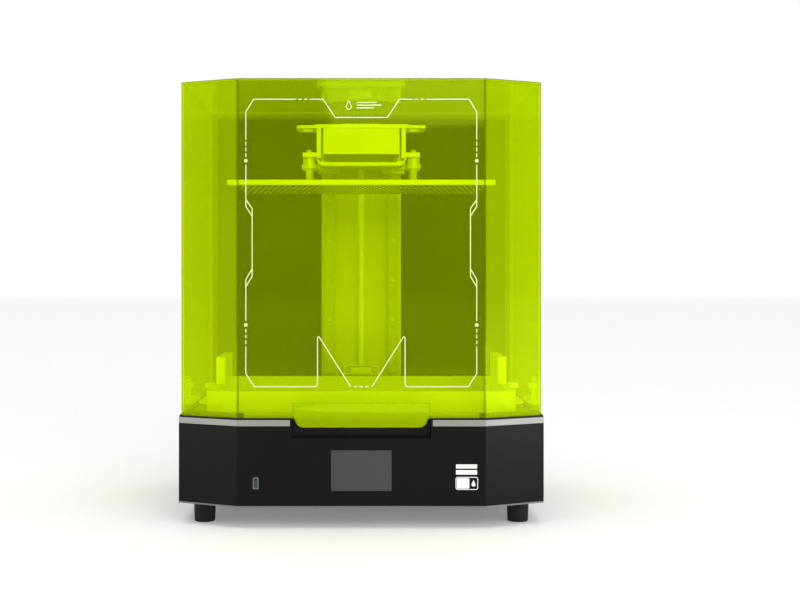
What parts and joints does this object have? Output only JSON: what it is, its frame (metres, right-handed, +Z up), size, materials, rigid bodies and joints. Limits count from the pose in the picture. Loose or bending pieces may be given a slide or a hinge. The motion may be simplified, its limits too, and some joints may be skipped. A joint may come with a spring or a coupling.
{
  "type": "resin printer",
  "caption": "Large-format resin 3-D printer: black and silver base, tinted lift-off hood, vat, and a build plate on a motorised Z axis.",
  "frame": {"origin": "on the floor, in the middle of the footprint (underside of the feet)", "axes": "+Z up, the front faces -Y, +X to the right seen from the front"},
  "size_m": [0.475, 0.4, 0.575],
  "materials": {
    "zinc_steel": "zinc plated",
    "black_steel": "satin black powder coat",
    "black_rubber": "matt",
    "black_plastic": "fine moulded grain",
    "silver_aluminium": "bead blasted, clear anodised",
    "display_glass": "gloss",
    "clear_lens": "clear moulded",
    "circuit_board": "green solder mask",
    "motor_steel": "black laminations",
    "screen": "dark glass, switched off",
    "contact_brass": "plain",
    "bearing_steel": "ground",
    "clear_film": "clear release film",
    "tinted_acrylic": "transparent yellow-green, polished"
  },
  "bodies": {
    "base": {"bearing_block_lower": "silver_aluminium", "bearing_block_upper": "silver_aluminium", "bottom_plate": "zinc_steel", "case_wrap": "black_steel", "column": "silver_aluminium", "deck_plate": "silver_aluminium", "deck_seal": "black_rubber", "exhaust_fan_frame": "black_plastic", "feet": "black_rubber", "film_frame": "silver_aluminium", "finger_pocket": "black_plastic", "fixed_screws": "bearing_steel", "front_fascia": "black_steel", "hood_guides": "black_plastic", "inlet_pins": "contact_brass", "lamp_fan_frame": "black_plastic", "lamp_housing": "black_plastic", "lcd_panel": "display_glass", "led_board": "circuit_board", "led_heat_sink": "silver_aluminium", "lens_array": "clear_lens", "main_board": "circuit_board", "power_inlet": "black_plastic", "power_supply": "zinc_steel", "rail_left": "bearing_steel", "rail_right": "bearing_steel", "screen_glass": "screen", "screen_module": "black_plastic", "screw_bearings": "bearing_steel", "tower_plate": "black_steel", "usb_port": "zinc_steel", "vat_film": "clear_film", "vat_handles": "silver_aluminium", "vat_tray": "silver_aluminium", "z_motor": "motor_steel"},
    "hood": {"hood_chamfers": "tinted_acrylic", "hood_front": "tinted_acrylic", "hood_lip": "tinted_acrylic", "hood_rear": "tinted_acrylic", "hood_sides": "tinted_acrylic", "hood_top": "tinted_acrylic"},
    "carriage": {"carriage_plate": "silver_aluminium", "rail_block_left": "bearing_steel", "rail_block_right": "bearing_steel", "lead_nut": "contact_brass", "arm": "silver_aluminium", "plate_bracket": "silver_aluminium", "bracket_cap": "silver_aluminium", "plate_standoffs": "silver_aluminium", "levelling_bolts": "bearing_steel", "build_plate": "silver_aluminium"},
    "screw": {"lead_screw": "bearing_steel", "shaft_coupler": "silver_aluminium"},
    "lamp_fan": {"lamp_fan_rotor": "black_plastic"},
    "exhaust_fan": {"exhaust_fan_rotor": "black_plastic"},
    "rocker": {"power_rocker": "black_plastic"},
    "vat_screw_l": {"vat_screw_left": "bearing_steel"},
    "vat_screw_r": {"vat_screw_right": "bearing_steel"}
  },
  "joints": [
    {"name": "hood_lift", "type": "slide", "parent": "base", "child": "hood", "axis": [0, 0, 1], "range_m": [0, 0.46]},
    {"name": "z_travel", "type": "slide", "parent": "base", "child": "carriage", "axis": [0, 0, 1], "range_m": [-0.3045, 0.003]},
    {"name": "screw_spin", "type": "hinge", "parent": "base", "child": "screw", "pos_m": [0, 0.134, 0.35], "axis": [0, 0, 1], "range_deg": [-21944, 236]},
    {"name": "lamp_fan_spin", "type": "hinge", "parent": "base", "child": "lamp_fan", "pos_m": [0, -0.005, 0.037], "axis": [0, 0, 1], "continuous": true},
    {"name": "exhaust_fan_spin", "type": "hinge", "parent": "base", "child": "exhaust_fan", "pos_m": [-0.13, 0.182, 0.08], "axis": [0, 1, 0], "continuous": true},
    {"name": "power_switch", "type": "hinge", "parent": "base", "child": "rocker", "pos_m": [0.15, 0.1905, 0.0933], "axis": [0, 0, 1], "range_deg": [0, 20]},
    {"name": "vat_screw_l_turn", "type": "hinge", "parent": "base", "child": "vat_screw_l", "pos_m": [-0.2155, 0.004, 0.16], "axis": [0, 0, 1], "range_deg": [0, 1080]},
    {"name": "vat_screw_r_turn", "type": "hinge", "parent": "base", "child": "vat_screw_r", "pos_m": [0.2155, 0.004, 0.16], "axis": [0, 0, 1], "range_deg": [0, 1080]}
  ],
  "couplings": [
    {"joint": "screw_spin", "follows": "z_travel", "rad_per_m": 1256.6}
  ]
}
